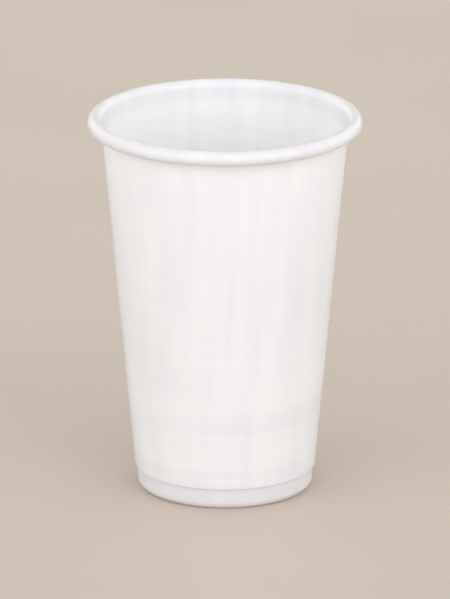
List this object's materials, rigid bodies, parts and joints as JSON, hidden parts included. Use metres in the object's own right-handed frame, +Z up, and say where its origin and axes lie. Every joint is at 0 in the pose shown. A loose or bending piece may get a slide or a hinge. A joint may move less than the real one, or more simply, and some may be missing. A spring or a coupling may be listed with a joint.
{
  "type": "plastic cup",
  "caption": "Tall tapered white plastic drinking cup formed in one piece, with a rolled rim, a straight conical wall, a stacking heel and a raised floor.",
  "frame": {"origin": "centre of the foot, on the surface that the cup stands on", "axes": "+Z up along the cup's axis, from the foot to the mouth; X and Y are free, because the cup is round"},
  "size_m": [0.0702, 0.0702, 0.099],
  "materials": {
    "white_plastic": "white polypropylene sheet with a soft gloss, letting a little light through"
  },
  "bodies": {
    "root": {"cup": "white_plastic"}
  },
  "joints": []
}
